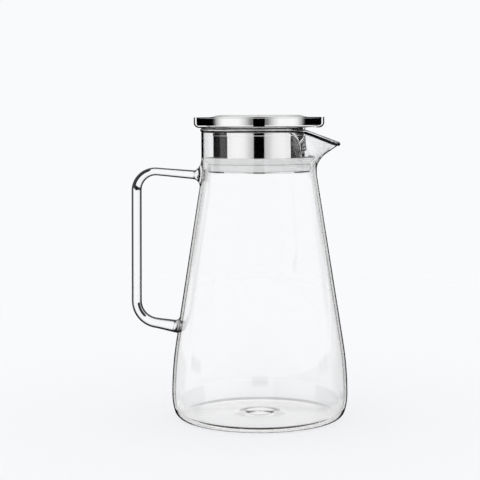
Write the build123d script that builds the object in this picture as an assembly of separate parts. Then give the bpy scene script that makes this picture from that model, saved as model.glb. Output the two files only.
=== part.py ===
from build123d import *
import math
import os

os.makedirs("parts", exist_ok=True)

# A clear glass jug with a rod handle, a pulled spout and a polished steel lid whose perforated
# sleeve hangs in the neck inside a silicone ring.
# Millimetres. Z points up, the origin is the centre of the base, the spout points along +X
# and the handle along -X.

# Blown body
BELLY_R = 74.1            # widest outer radius
BELLY_Z = 20.0            # height of the widest ring
HEEL_SIDE_ARC_R = 46.0    # arc of the wall just under the widest ring
HEEL_CORNER_R = 9.0       # arc that turns the wall into the foot
CONE_SLOPE = 0.159        # radius lost for each millimetre of height
NECK_R = 48.2             # outer radius of the straight neck
SHOULDER_Z = 205.0        # where the cone meets the neck
WALL = 2.2
FLOOR = 3.6
INNER_CORNER_R = 6.5      # tight corner between the inner wall and the floor
FOOT_RING_R = 57.0        # inner edge of the ring that the jug stands on
FOOT_RECESS = 0.9
BUTTON_R = 17.0           # raised lens of glass in the middle of the floor
BUTTON_HEIGHT = 3.6

# Rim and spout
RIM_Z = 244.0
BEAD_R = 1.5              # fire-polished bead along the rim
BEAD_OUT = 0.85           # how far the bead stands out of the neck
SPOUT_FOOT_Z = 217.0      # where the straight underside would meet the neck
SPOUT_SLOPE = 0.684       # rise of the underside for each millimetre outwards
SPOUT_HALF_ANGLE = 30.0   # half the angle between the spout's flanks, seen from above
SPOUT_KEEL_R = 5.0        # rounding of the spout's underside
SPOUT_BLEND_R = 6.0       # rounding between the spout and the neck
LIP_START_X = 34.0        # where the rim starts to fall towards the tip
LIP_SLOPE = 0.37
LIP_BEND_R = 40.0

# Handle: corners of the centre line (x, z) of a bent glass rod that tapers towards the neck
UPPER_SEAM = (-53.7, 205.0)
GRIP_TOP = (-102.6, 209.5)
GRIP_BOTTOM = (-103.75, 83.2)
LOWER_SEAM = (-71.6, 77.3)
UPPER_BEND_R = 16.0
LOWER_BEND_R = 19.0
ARM_D = 7.4               # at the upper seam
UPPER_BEND_D = 6.6
GRIP_D = 8.4
LOWER_BEND_D = 8.8
LOWER_ARM_D = 10.4        # at the lower seam
WELD_STEP = 0.15          # how far a weld stands proud of the rod at its seam
UPPER_WELD_R = 10.5       # where the upper weld meets the neck
LOWER_WELD_R = 7.6        # where the lower weld meets the cone

# Lid
LID_R = 54.4
LID_GAP = 0.1             # air between the rim and the lid
LID_EDGE_Z = 252.9        # sharp upper edge
SHEET = 0.8               # thickness of the steel
PAN_CORNER_R = 4.3
DOME_FOOT_R = 43.0
DOME_PLATEAU_R = 31.0
DOME_RISE = 1.7
LOCATING_LIP = 1.6        # depth of the cover's ring inside the pan
FIT = 0.06                # running clearance on a radius

# Sleeve, its collar and its seal
SLEEVE_R = 38.2
SLEEVE_BOTTOM_Z = 207.2
FLANGE_R = 42.3
FLANGE_T = 1.2
TOP_FLANGE_R = 30.0
COLLAR_BOTTOM_Z = 237.5
COLLAR_T = 0.45
SEAL_FOOT_R = 42.5
SEAL_BULGE_R = 43.4
SEAL_BULGE_Z = 211.8
SEAL_WAIST_R = 41.7
SEAL_WAIST_Z = 214.0
SEAL_LIP_ROOT_R = 42.6
SEAL_GROOVE = 0.4         # half the height of the groove at the waist
SEAL_TOP_Z = 219.4
SEAL_LIP_T = 0.5          # height of the lip's outer edge

# Strainer window
HOLE_R = 1.05
HOLE_ROWS = 5
HOLE_COLUMNS = 9
HOLE_ROW_PITCH = 2.88
HOLE_ANGLE_PITCH = 5.25
LOWEST_HOLE_Z = 223.9

# Worked out from the above
NECK_INNER_R = NECK_R - WALL
BEAD_PATH_R = NECK_R + BEAD_OUT - BEAD_R
BEAD_PATH_Z = RIM_Z - BEAD_R
FORM_TOP_Z = RIM_Z + 0.4          # the forms are cut down to the rim afterwards
PAN_BOTTOM_Z = RIM_Z + LID_GAP
PAN_TOP_Z = LID_EDGE_Z - SHEET
LIP_FALL = math.atan(LIP_SLOPE)
LIP_REACH = LIP_BEND_R * math.tan(LIP_FALL / 2)
CONE_ANGLE = math.atan(CONE_SLOPE)
SPOUT_RISE = math.atan(SPOUT_SLOPE)


def write(node, solid):
    solid.label = node
    export_step(solid, f"parts/{node}.step")


def ring(*points):
    """Solid of revolution from the (radius, height) corners of its section."""
    with BuildSketch(Plane.XZ) as sketch:
        with BuildLine():
            Polyline(*points, close=True)
        make_face()
    return revolve(sketch.sketch, axis=Axis.Z)


def on_circle(centre, radius, angle):
    return centre[0] + radius * math.cos(angle), centre[1] + radius * math.sin(angle)


def vessel_form(offset, corner_r, floor_z):
    """Solid of revolution, inside the outer wall by the offset: heel, belly, cone and neck."""
    belly_r = BELLY_R - offset
    side_r = HEEL_SIDE_ARC_R - offset
    neck_r = NECK_R - offset
    side_centre = (BELLY_R - HEEL_SIDE_ARC_R, BELLY_Z)
    # the corner arc touches the floor and, on the line through both centres, the side arc
    corner_drop = BELLY_Z - floor_z - corner_r
    corner_reach = math.sqrt((side_r - corner_r) ** 2 - corner_drop ** 2)
    corner = (side_centre[0] + corner_reach, floor_z + corner_r)
    touch_angle = math.atan2(-corner_drop, corner_reach)
    floor_end = (corner[0], floor_z)
    touch = on_circle(side_centre, side_r, touch_angle)
    belly = (belly_r, BELLY_Z)
    # one large arc leaves the widest ring upright and ends on the cone
    cone_r_at_belly = neck_r + CONE_SLOPE * (SHOULDER_Z - BELLY_Z)
    cone_r_at_belly -= offset * (1 / math.cos(CONE_ANGLE) - 1)
    arc_r = (cone_r_at_belly - belly_r) / (1 / math.cos(CONE_ANGLE) - 1)
    arc_centre = (belly_r - arc_r, BELLY_Z)
    cone_foot = on_circle(arc_centre, arc_r, CONE_ANGLE)
    shoulder = (neck_r, SHOULDER_Z - offset * math.tan(CONE_ANGLE / 2))
    with BuildSketch(Plane.XZ) as sketch:
        with BuildLine():
            Line((0, floor_z), floor_end)
            corner_middle = on_circle(corner, corner_r, (touch_angle - math.pi / 2) / 2)
            ThreePointArc(floor_end, corner_middle, touch)
            ThreePointArc(touch, on_circle(side_centre, side_r, touch_angle / 2), belly)
            ThreePointArc(belly, on_circle(arc_centre, arc_r, CONE_ANGLE / 2), cone_foot)
            Polyline(cone_foot, shoulder, (neck_r, FORM_TOP_Z), (0, FORM_TOP_Z), (0, floor_z))
        make_face()
    return revolve(sketch.sketch, axis=Axis.Z)


def spout_form(offset):
    """Prism that rises outwards along the spout's underside, with a rounded keel."""
    half_width = math.tan(math.radians(SPOUT_HALF_ANGLE))
    # angle between a flank and the upright plane of symmetry
    flank = math.atan2(half_width, math.sin(SPOUT_RISE))
    # the rounding pulls the keel in, so the sharp ridge lies further out
    ridge_shift = SPOUT_KEEL_R * (1 / math.sin(flank) - 1) - offset / math.sin(flank)
    ridge_z_at_neck = SPOUT_FOOT_Z - ridge_shift / math.cos(SPOUT_RISE)
    start_z = 180.0
    length = 130.0
    depth = 120.0
    apex_x = NECK_R + (start_z - ridge_z_at_neck) / SPOUT_SLOPE
    back_x = apex_x - depth
    triangle = Polyline(
        (apex_x, 0, start_z),
        (back_x, depth * half_width, start_z),
        (back_x, -depth * half_width, start_z),
        close=True,
    )
    along_ridge = (math.cos(SPOUT_RISE), 0, math.sin(SPOUT_RISE))
    prism = extrude(make_face(triangle), amount=length, dir=along_ridge)
    # only the part in front of the vessel's middle, and below the top of the forms
    front = Box(100, 130, 40, align=(Align.MIN, Align.CENTER, Align.MAX))
    wedge = prism & Pos(20, 0, FORM_TOP_Z) * front
    keel = [
        edge for edge in wedge.edges()
        if abs((edge @ 0).Y) < 1e-4 and abs((edge @ 1).Y) < 1e-4
    ]
    return fillet(keel, SPOUT_KEEL_R - offset)


def with_spout(vessel, offset):
    """Joins the spout to the vessel and rounds the inward corner between them."""
    form = vessel + spout_form(offset)
    neck_r = NECK_R - offset
    seam = [
        edge for edge in form.edges()
        if (edge @ 0.5).X > 20
        and abs((edge @ 0).Z - (edge @ 1).Z) > 0.5
        and all(
            abs(math.hypot((edge @ t).X, (edge @ t).Y) - neck_r) < 0.02
            for t in (0, 0.25, 0.5, 0.75, 1)
        )
    ]
    return fillet(seam, SPOUT_BLEND_R + offset)


def above_the_lip():
    """Everything above the rim, which is level round the neck and falls to the spout's tip."""
    far_x = 110.0
    high_z = RIM_Z + 20
    level_end = (LIP_START_X - LIP_REACH, BEAD_PATH_Z)
    fall_start = (
        LIP_START_X + LIP_REACH * math.cos(LIP_FALL),
        BEAD_PATH_Z - LIP_REACH * math.sin(LIP_FALL),
    )
    fall_end = (far_x, BEAD_PATH_Z - LIP_SLOPE * (far_x - LIP_START_X))
    with BuildSketch(Plane.XZ) as sketch:
        with BuildLine():
            Line((-far_x, BEAD_PATH_Z), level_end)
            RadiusArc(level_end, fall_start, LIP_BEND_R)
            Polyline(
                fall_start, fall_end, (far_x, high_z), (-far_x, high_z), (-far_x, BEAD_PATH_Z)
            )
        make_face()
    return extrude(sketch.sketch, amount=far_x, both=True)


def lip_z(x):
    """Height of the rim's centre line above a point of the plan."""
    level_end_x = LIP_START_X - LIP_REACH
    if x < level_end_x:
        return BEAD_PATH_Z
    if x > LIP_START_X + LIP_REACH * math.cos(LIP_FALL):
        return BEAD_PATH_Z - LIP_SLOPE * (x - LIP_START_X)
    return BEAD_PATH_Z - LIP_BEND_R + math.sqrt(LIP_BEND_R ** 2 - (x - level_end_x) ** 2)


def rim_bead(lip_cutter):
    """Round bead along the whole rim, swept on the line where the lip cuts the wall."""
    short_neck = 39.0
    neck = Cylinder(BEAD_PATH_R, short_neck, align=(Align.CENTER, Align.CENTER, Align.MAX))
    form = with_spout(Pos(0, 0, FORM_TOP_Z) * neck, NECK_R - BEAD_PATH_R) - lip_cutter
    outline = [
        edge for edge in form.edges()
        if abs((edge @ 0.5).Z - lip_z((edge @ 0.5).X)) < 0.05
        and math.hypot((edge @ 0.5).X, (edge @ 0.5).Y) > BEAD_PATH_R - 0.5
    ]
    path = Wire.combine(outline)[0]
    section = Plane(origin=path @ 0, z_dir=path % 0) * Circle(BEAD_R)
    return sweep(section, path=path)


def dome(radius, base_z, height, skirt):
    """Low round cap that stands on the level base_z, with a skirt below it."""
    sphere_r = (radius ** 2 + height ** 2) / (2 * height)
    centre = (0, base_z + height - sphere_r)
    edge_angle = math.acos(radius / sphere_r)
    with BuildSketch(Plane.XZ) as sketch:
        with BuildLine():
            middle = on_circle(centre, sphere_r, (edge_angle + math.pi / 2) / 2)
            ThreePointArc((radius, base_z), middle, (0, base_z + height))
            Polyline(
                (0, base_z + height), (0, base_z - skirt), (radius, base_z - skirt),
                (radius, base_z),
            )
        make_face()
    return revolve(sketch.sketch, axis=Axis.Z)


def jug_body(outer_form):
    inner_form = with_spout(vessel_form(WALL, INNER_CORNER_R, FLOOR), WALL)
    lip_cutter = above_the_lip()
    body = outer_form - inner_form - lip_cutter + rim_bead(lip_cutter)
    recess = dome(FOOT_RING_R, 0, FOOT_RECESS, skirt=1)
    button = dome(BUTTON_R, FLOOR, BUTTON_HEIGHT, skirt=1)
    return body - recess + button


def handle_rod():
    """Round rod swept along three runs and two bends, with its own thickness at each joint."""
    with BuildLine(Plane.XZ) as line:
        FilletPolyline(
            UPPER_SEAM, GRIP_TOP, GRIP_BOTTOM, LOWER_SEAM, radius=[UPPER_BEND_R, LOWER_BEND_R]
        )
    path = line.wires()[0]
    runs = path.edges().sort_by(lambda edge: (edge @ 0 - path @ 0).length + (edge @ 0).Z * -9)
    stations = [(edge @ 0, edge % 0) for edge in runs] + [(runs[-1] @ 1, runs[-1] % 1)]
    diameters = (ARM_D, UPPER_BEND_D, GRIP_D, GRIP_D, LOWER_BEND_D, LOWER_ARM_D)
    sections = [
        Plane(origin=place, z_dir=direction) * Circle(diameter / 2)
        for (place, direction), diameter in zip(stations, diameters)
    ]
    return sweep(sections, path=path, multisection=True)


def weld(seam, grip_corner, rod_d, wall_r, reach, outer_form):
    """Flared collar of fused glass between the end of the rod and the wall of the body."""
    seam_r = rod_d / 2 + WELD_STEP
    # the flare's arc ends square to the rod, flat against the wall
    flare_r = (reach ** 2 + (wall_r - seam_r) ** 2) / (2 * reach)
    flare_centre = (reach - flare_r, wall_r)
    start_angle = math.atan2(seam_r - wall_r, flare_r - reach)
    deep = reach + 9
    with BuildSketch(Plane.XY) as sketch:
        with BuildLine():
            middle = on_circle(flare_centre, flare_r, start_angle / 2)
            ThreePointArc((0, seam_r), middle, (reach, wall_r))
            Polyline((reach, wall_r), (deep, wall_r), (deep, 0), (0, 0), (0, seam_r))
        make_face()
    flare = revolve(sketch.sketch, axis=Axis.X)
    inwards = (seam[0] - grip_corner[0], 0, seam[1] - grip_corner[1])
    place = Plane(origin=(seam[0], 0, seam[1]), x_dir=inwards, z_dir=(0, 1, 0))
    return place * flare - outer_form


def lid_pan():
    """Pressed dish with a closed floor, a rounded lower corner and an upright side."""
    corner = (LID_R - PAN_CORNER_R, PAN_BOTTOM_Z + PAN_CORNER_R)
    low = -math.pi / 2
    inner_r = PAN_CORNER_R - SHEET
    with BuildSketch(Plane.XZ) as sketch:
        with BuildLine():
            Line((0, PAN_BOTTOM_Z), (corner[0], PAN_BOTTOM_Z))
            ThreePointArc(
                on_circle(corner, PAN_CORNER_R, low),
                on_circle(corner, PAN_CORNER_R, low / 2),
                on_circle(corner, PAN_CORNER_R, 0),
            )
            Polyline(
                (LID_R, corner[1]), (LID_R, PAN_TOP_Z), (LID_R - SHEET, PAN_TOP_Z),
                (LID_R - SHEET, corner[1]),
            )
            ThreePointArc(
                on_circle(corner, inner_r, 0),
                on_circle(corner, inner_r, low / 2),
                on_circle(corner, inner_r, low),
            )
            Polyline(
                (corner[0], PAN_BOTTOM_Z + SHEET), (0, PAN_BOTTOM_Z + SHEET), (0, PAN_BOTTOM_Z)
            )
        make_face()
    return revolve(sketch.sketch, axis=Axis.Z)


def dome_slope(top_z, low_z, outwards):
    """Soft step between the plateau of the cover and its level edge."""
    middle_r = (DOME_PLATEAU_R + DOME_FOOT_R) / 2
    points = [
        (DOME_PLATEAU_R, top_z), (middle_r, top_z), (middle_r, low_z), (DOME_FOOT_R, low_z)
    ]
    Bezier(*(points if outwards else reversed(points)))


def lid_top_plate():
    """Cover that lies on the pan's edge, with a ring below that locates it in the pan."""
    top_z = LID_EDGE_Z + DOME_RISE
    ring_r = LID_R - SHEET - FIT
    with BuildSketch(Plane.XZ) as sketch:
        with BuildLine():
            Line((0, top_z), (DOME_PLATEAU_R, top_z))
            dome_slope(top_z, LID_EDGE_Z, outwards=True)
            Polyline(
                (DOME_FOOT_R, LID_EDGE_Z), (LID_R, LID_EDGE_Z), (LID_R, PAN_TOP_Z),
                (ring_r, PAN_TOP_Z), (ring_r, PAN_TOP_Z - LOCATING_LIP),
                (ring_r - SHEET, PAN_TOP_Z - LOCATING_LIP), (ring_r - SHEET, PAN_TOP_Z),
                (DOME_FOOT_R, PAN_TOP_Z),
            )
            dome_slope(top_z - SHEET, PAN_TOP_Z, outwards=False)
            Polyline((DOME_PLATEAU_R, top_z - SHEET), (0, top_z - SHEET), (0, top_z))
        make_face()
    return revolve(sketch.sketch, axis=Axis.Z)


def sleeve_collar():
    inner_r = SLEEVE_R
    outer_r = SLEEVE_R + COLLAR_T
    return ring(
        (inner_r, COLLAR_BOTTOM_Z), (outer_r, COLLAR_BOTTOM_Z),
        (outer_r, PAN_BOTTOM_Z), (inner_r, PAN_BOTTOM_Z),
    )


def strainer_sleeve():
    """Tube with a flange at each end and rows of round holes towards the spout."""
    inner_r = SLEEVE_R - SHEET
    flange_top = SLEEVE_BOTTOM_Z + FLANGE_T
    tube = ring(
        (inner_r, SLEEVE_BOTTOM_Z), (FLANGE_R, SLEEVE_BOTTOM_Z), (FLANGE_R, flange_top),
        (SLEEVE_R, flange_top), (SLEEVE_R, PAN_BOTTOM_Z), (TOP_FLANGE_R, PAN_BOTTOM_Z),
        (TOP_FLANGE_R, PAN_BOTTOM_Z - SHEET), (inner_r, PAN_BOTTOM_Z - SHEET),
    )
    rounded = tube.edges().filter_by(
        lambda edge: abs(math.hypot((edge @ 0).X, (edge @ 0).Y) - FLANGE_R) < 0.01
    )
    tube = fillet(rounded, FLANGE_T * 0.4)
    punch = Rot(0, 90, 0) * Cylinder(HOLE_R, 4)
    punches = [
        Rot(0, 0, (column - (HOLE_COLUMNS - 1) / 2) * HOLE_ANGLE_PITCH)
        * Pos(SLEEVE_R, 0, LOWEST_HOLE_Z + row * HOLE_ROW_PITCH)
        * punch
        for row in range(HOLE_ROWS)
        for column in range(HOLE_COLUMNS)
    ]
    return tube - punches


def seal_ring():
    """Silicone ring with a round bulge below, a groove, and a thin lip against the neck."""
    inner_r = SLEEVE_R + FIT
    lip_r = NECK_INNER_R - FIT
    foot_z = SLEEVE_BOTTOM_Z + FLANGE_T + FIT
    groove_bottom = (SEAL_FOOT_R, SEAL_WAIST_Z - SEAL_GROOVE)
    with BuildSketch(Plane.XZ) as sketch:
        with BuildLine():
            Line((inner_r, foot_z), (SEAL_FOOT_R, foot_z))
            ThreePointArc((SEAL_FOOT_R, foot_z), (SEAL_BULGE_R, SEAL_BULGE_Z), groove_bottom)
            Polyline(
                groove_bottom, (SEAL_WAIST_R, SEAL_WAIST_Z),
                (SEAL_LIP_ROOT_R, SEAL_WAIST_Z + SEAL_GROOVE),
                (lip_r, SEAL_TOP_Z - SEAL_LIP_T), (lip_r, SEAL_TOP_Z), (inner_r, SEAL_TOP_Z),
                (inner_r, foot_z),
            )
        make_face()
    return revolve(sketch.sketch, axis=Axis.Z)


outer_form = with_spout(vessel_form(0, HEEL_CORNER_R, 0), 0)
upper_reach = abs(UPPER_SEAM[0]) - NECK_R
lower_wall_r = NECK_R + CONE_SLOPE * (SHOULDER_Z - LOWER_SEAM[1])
lower_reach = abs(LOWER_SEAM[0]) - lower_wall_r

write("jug_body", jug_body(outer_form))
write("handle_rod", handle_rod())
write(
    "upper_handle_weld",
    weld(UPPER_SEAM, GRIP_TOP, ARM_D, UPPER_WELD_R, upper_reach, outer_form),
)
write(
    "lower_handle_weld",
    weld(LOWER_SEAM, GRIP_BOTTOM, LOWER_ARM_D, LOWER_WELD_R, lower_reach, outer_form),
)
write("lid_pan", lid_pan())
write("lid_top_plate", lid_top_plate())
write("sleeve_collar", sleeve_collar())
write("strainer_sleeve", strainer_sleeve())
write("seal_ring", seal_ring())
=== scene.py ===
from contextlib import contextmanager
from math import acos, asin, atan, atan2, cos, degrees, hypot, pi, radians, sin, sqrt, tan

import bmesh
import bpy
import numpy as np
from mathutils import Matrix, Vector


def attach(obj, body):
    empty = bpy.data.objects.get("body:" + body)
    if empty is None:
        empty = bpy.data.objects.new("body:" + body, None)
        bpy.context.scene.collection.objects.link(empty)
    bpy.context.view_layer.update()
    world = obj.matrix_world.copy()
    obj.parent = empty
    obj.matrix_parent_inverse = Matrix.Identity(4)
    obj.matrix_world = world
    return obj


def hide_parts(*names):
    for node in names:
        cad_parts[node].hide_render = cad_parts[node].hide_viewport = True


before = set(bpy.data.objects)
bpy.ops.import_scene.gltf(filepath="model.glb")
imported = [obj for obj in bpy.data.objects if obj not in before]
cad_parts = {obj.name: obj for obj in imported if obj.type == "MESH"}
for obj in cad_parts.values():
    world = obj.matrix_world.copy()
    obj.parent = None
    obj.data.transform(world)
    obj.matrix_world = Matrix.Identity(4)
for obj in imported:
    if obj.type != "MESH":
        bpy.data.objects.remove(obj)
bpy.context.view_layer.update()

# A clear glass jug with a rod handle and a polished steel strainer lid, on a pale floor.
# Metres, Z up, spout along +X, handle along -X. The photograph looks along +Y.

MM = 0.001

# Blown body
BELLY_R = 74.1 * MM
BELLY_Z = 20.0 * MM
HEEL_SIDE_ARC_R = 46.0 * MM
HEEL_CORNER_R = 9.0 * MM
CONE_SLOPE = 0.159
NECK_R = 48.2 * MM
SHOULDER_Z = 205.0 * MM
SHOULDER_BLEND = 0.5 * MM
WALL = 2.2 * MM
FLOOR = 3.6 * MM
INNER_CORNER_R = 6.5 * MM
FOOT_RING_R = 57.0 * MM
FOOT_RING_ROUND = 1.2 * MM
FOOT_RING_STEP = 0.02 * MM
FOOT_RECESS = 0.9 * MM
BUTTON_R = 17.0 * MM
BUTTON_HEIGHT = 3.6 * MM

# Rim and spout
RIM_Z = 244.0 * MM
BEAD_R = 1.75 * MM
BEAD_OUT = 0.85 * MM
SPOUT_FOOT_Z = 217.0 * MM
SPOUT_SLOPE = 0.684
SPOUT_HALF_ANGLE = radians(30)
SPOUT_SIDE_LIMIT = radians(62)  # past this the flank lies well inside the neck
SPOUT_KEEL_R = 5.0 * MM
SPOUT_BLEND_R = 6.0 * MM
FLANK_BLEND_R = 22.0 * MM
FLANK_END = radians(32)
NECK_START = radians(60)
LIP_START_X = 34.0 * MM
LIP_SLOPE = 0.37
LIP_BEND_R = 40.0 * MM

# Handle: corners (x, z) of the rod's centre line and its thickness along it
UPPER_SEAM = (-53.7 * MM, 205.0 * MM)
GRIP_TOP = (-102.6 * MM, 209.5 * MM)
GRIP_BOTTOM = (-103.75 * MM, 83.2 * MM)
LOWER_SEAM = (-71.6 * MM, 77.3 * MM)
UPPER_BEND_R = 16.0 * MM
LOWER_BEND_R = 19.0 * MM
ARM_D = 7.4 * MM
UPPER_BEND_D = 6.6 * MM
GRIP_D = 8.4 * MM
LOWER_BEND_D = 8.8 * MM
LOWER_ARM_D = 10.4 * MM
SIDE = np.array([0, 1.0, 0])  # across the handle

# Joints of the handle: how far they spread on the wall, and the faint ridge at each seam
UPPER_SPREAD = 10.2 * MM
UPPER_SPREAD_TO_RIM = 3.6 * MM
LOWER_SPREAD = 7.6 * MM
LOWER_SPREAD_UPWARDS = 1.4 * MM
RIDGE_STEP = 0.15 * MM
RIDGE_WIDTH = 1.3 * MM
RIDGE_PROFILE = ((0.25, 0.9), (0.55, 0.25), (1.0, 0.0))  # shares of the width and the step

# Lid
LID_R = 54.4 * MM
LID_EDGE_Z = 252.9 * MM
PAN_BOTTOM_Z = 244.1 * MM
SHEET = 0.8 * MM
PAN_CORNER_R = 4.3 * MM
PAN_MIDDLE_R = 30.0 * MM
DOME_FOOT_R = 43.0 * MM
DOME_PLATEAU_R = 31.0 * MM
DOME_RISE = 1.7 * MM
DOME_POINTS = 17
LOCATING_LIP = 1.6 * MM
FIT = 0.06 * MM
EDGE_ROUND = 0.2 * MM

# Sleeve, collar, seal
SLEEVE_R = 38.2 * MM
SLEEVE_BOTTOM_Z = 207.2 * MM
SLEEVE_TOP_GAP = 0.02 * MM
FLANGE_R = 42.3 * MM
FLANGE_T = 1.2 * MM
FLANGE_ROUND = 0.2 * MM
TOP_FLANGE_R = 30.0 * MM
COLLAR_BOTTOM_Z = 237.5 * MM
COLLAR_T = 0.45 * MM
COLLAR_ROUND = 0.4 * MM
SEAL_FOOT_R = 42.5 * MM
SEAL_FOOT_BEVEL = (0.5 * MM, 0.35 * MM)
SEAL_BULGE_R = 43.4 * MM
SEAL_BULGE_Z = 211.8 * MM
SEAL_BULGE_ARC_R = 6.0 * MM
SEAL_BULGE_ARC = (-0.42, 0.36)
SEAL_WAIST_R = 41.7 * MM
SEAL_WAIST_Z = 214.0 * MM
SEAL_LIP_ROOT_R = 42.6 * MM
SEAL_GROOVE = 0.4 * MM
SEAL_TOP_Z = 219.4 * MM
SEAL_LIP_T = 0.5 * MM

# Strainer window
HOLE_R = 1.05 * MM
HOLE_MOUTH = 1.12  # how much wider a hole is where it opens
HOLE_MOUTH_DEPTH = 0.12 * MM
HOLE_ROWS = 5
HOLE_COLUMNS = 9
HOLE_ROW_PITCH = 2.88 * MM
HOLE_ANGLE_PITCH = radians(5.25)
LOWEST_HOLE_Z = 223.9 * MM
HOLE_CELLS = 4  # mesh cells along each side of the square round a hole

# Worked out from the above
CONE_ANGLE = atan(CONE_SLOPE)
SPOUT_RISE = atan(SPOUT_SLOPE)
BEAD_DEPTH = BEAD_R - BEAD_OUT  # from the bead's centre line out to the wall
BEAD_MEETS_WALL = -acos(BEAD_DEPTH / BEAD_R)
BEAD_PATH_Z = RIM_Z - BEAD_R
LIP_FALL = atan(LIP_SLOPE)
LIP_REACH = LIP_BEND_R * tan(LIP_FALL / 2)
PAN_TOP_Z = LID_EDGE_Z - SHEET

# Painted shade on the glass, in place of the dark surroundings that its edges reflect and
# refract: how far from grazing the glass darkens, as a share of the facing value. Over 1, the
# shade is painted even where a ray meets the glass head on.
PAINTED_SHADE_ATTRIBUTE = "painted_glass_shade"
PAINTED_EDGE_SHADE = ((0.0, 0.998), (0.06, 0.93), (0.12, 0.75), (0.17, 0.3), (0.22, 0.05), (0.3, 0.0))
INSIDE_EDGE = 0.13
INSIDE_CONE_EDGE = 0.19
INSIDE_HEEL_EDGE = 0.16
CONE_EDGE = 0.19
HEEL_EDGE = 0.29
HEEL_EDGE_Z = BELLY_Z / 2  # the heel's values hold below this height
NECK_EDGE = 0.35
KEEL_EDGE = 0.6
KEEL_HALF_ANGLE = radians(6)  # the keel's value holds to here, and fades out over as much again
WELD_EDGE = 0.16
SEAM_EDGE = 1.16
ROD_EDGE = 0.93
PAINTED_STREAK_EDGE = 2.0
BEAD_CORE = 0.1
BEAD_EDGE = 1.5
SPOUT_BEAD_EDGE = 0.66

# Turns round the bead's section. Shade is painted on it below the low one and from the high one
# to the back one, and on the spout only below the spout's own.
BEAD_LOW = radians(-17)
BEAD_HIGH = radians(24)
BEAD_BACK = radians(140)
SPOUT_BEAD_LOW = radians(12)

# Painted dark streaks in the rod's bends, in place of the dark refractions that the bends show:
# where they start and end, in degrees that the rod falls, and where they lie round it, from -1
# on its outer side to 1 on its inner side
UPPER_STREAK_START = (12, 20)
UPPER_STREAK_END = (90, 86)
UPPER_STREAK_HOOK = (72, 86)
UPPER_STREAK_SIDE = (-0.5, 0.05)
UPPER_STREAK_HALF = 0.38
LOWER_STREAK_START = (88, 82)
LOWER_STREAK_END = (38, 48)
LOWER_STREAK_SIDE = 0.42
LOWER_STREAK_HALF = 0.3

# Mesh density
LATHE_COLUMNS = 256
SLEEVE_COLUMNS = 200  # round the sleeve outside its window
GLASS_COLUMNS = 320
CROWDING = 0.7  # how far the columns crowd towards the spout's tip
WELD_COLUMNS = 16
WELD_ROWS = 18
WELD_START = (GLASS_COLUMNS - WELD_COLUMNS) // 2  # first column of the holes for the joints
WELD_LOOP = 2 * (WELD_COLUMNS + WELD_ROWS)
ROUND_ROD = 2 * np.pi * np.arange(WELD_LOOP) / WELD_LOOP  # turns about the rod's axis
WELD_SKIRT = (0.3, 0.6, 0.85, 1.0)
WELD_FLARE_STEPS = 10
UPPER_WELD_ZONE = (190.6 * MM, 220.4 * MM)
LOWER_WELD_ZONE = (65.6 * MM, 87.6 * MM)
INSIDE_SHOULDER = (196.0 * MM, 206.0 * MM)
INSIDE_NECK_ROWS = 26
INSIDE_NECK_END = 0.8 * MM  # below the bead's centre line
BEAD_START = radians(168)
BEAD_ROWS = 24
OUTSIDE_NECK_ROWS = 16
OUTSIDE_NECK_START = 0.7 * MM  # below where the bead meets the wall


# Shared helpers

def ease(t):
    """Smooth step of a share between 0 and 1."""
    return t * t * (3 - 2 * t)


def between(start, end, share):
    return start + (end - start) * share


def share_of(value, start, end):
    """How far the value is on its way from the start to the end, kept between 0 and 1."""
    return np.clip((value - start) / (end - start), 0, 1)


def bump(value, centre, half_width):
    """1 at the centre, falling smoothly to 0 at the half width."""
    return ease(share_of(np.abs(value - centre), half_width, 0))


def from_spout(angle):
    """How far a direction from the axis is turned away from the spout, up to half a turn."""
    return np.abs(np.arctan2(np.sin(angle), np.cos(angle)))


def levels(start, end, spacing):
    """Heights after the start up to the end, evenly spaced."""
    count = max(1, round((end - start) / spacing))
    return list(np.linspace(start, end, count + 1)[1:])


def arc(centre, radius, start, end, steps):
    """Points of an arc in the (radius, height) plane, both ends included."""
    angles = np.linspace(start, end, steps + 1)
    return [(centre[0] + radius * cos(a), centre[1] + radius * sin(a)) for a in angles]


ROUNDING_STEPS = 3
BLUNT = radians(25)  # corners that turn less than this stay as they are
ROUNDING_REACH = 0.45  # share of a side that the rounding of one of its ends may take


def rounded(points, radius):
    """The closed section with each of its sharp corners rounded."""
    out = []
    count = len(points)
    for i in range(count):
        before, corner, after = (Vector(points[j % count]) for j in (i - 1, i, i + 1))
        to_before, to_after = before - corner, after - corner
        turn = pi - to_before.angle(to_after)
        if turn < BLUNT:
            out.append(tuple(corner))
            continue
        shortest = min(to_before.length, to_after.length)
        cut = min(radius * tan(turn / 2), shortest * ROUNDING_REACH)
        start = corner + to_before.normalized() * cut
        end = corner + to_after.normalized() * cut
        for k in range(ROUNDING_STEPS + 1):
            t = k / ROUNDING_STEPS
            out.append(tuple(start * (1 - t) ** 2 + corner * 2 * t * (1 - t) + end * t ** 2))
    return out


@contextmanager
def edited(mesh):
    """The mesh opened for editing, and written back at the end."""
    work = bmesh.new()
    work.from_mesh(mesh)
    yield work
    work.to_mesh(mesh)
    work.free()


def make_object(name, points, faces, look):
    mesh = bpy.data.meshes.new(name)
    mesh.from_pydata([tuple(p) for p in points], [], faces)
    mesh.materials.append(look)
    with edited(mesh) as work:
        bmesh.ops.recalc_face_normals(work, faces=work.faces)
        for face in work.faces:
            face.smooth = True
    piece = bpy.data.objects.new(name, mesh)
    bpy.context.scene.collection.objects.link(piece)
    return piece


def sharpen(piece, limit):
    """Keeps edges sharper than the limit in degrees crisp, and shades the rest smooth."""
    with edited(piece.data) as work:
        for edge in work.edges:
            if len(edge.link_faces) == 2:
                edge.smooth = edge.calc_face_angle() < radians(limit)


def drop_loose(piece):
    """Deletes the vertices that belong to no face, such as those in the holes of a grid."""
    with edited(piece.data) as work:
        loose = [v for v in work.verts if not v.link_faces]
        bmesh.ops.delete(work, geom=loose, context="VERTS")


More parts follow.
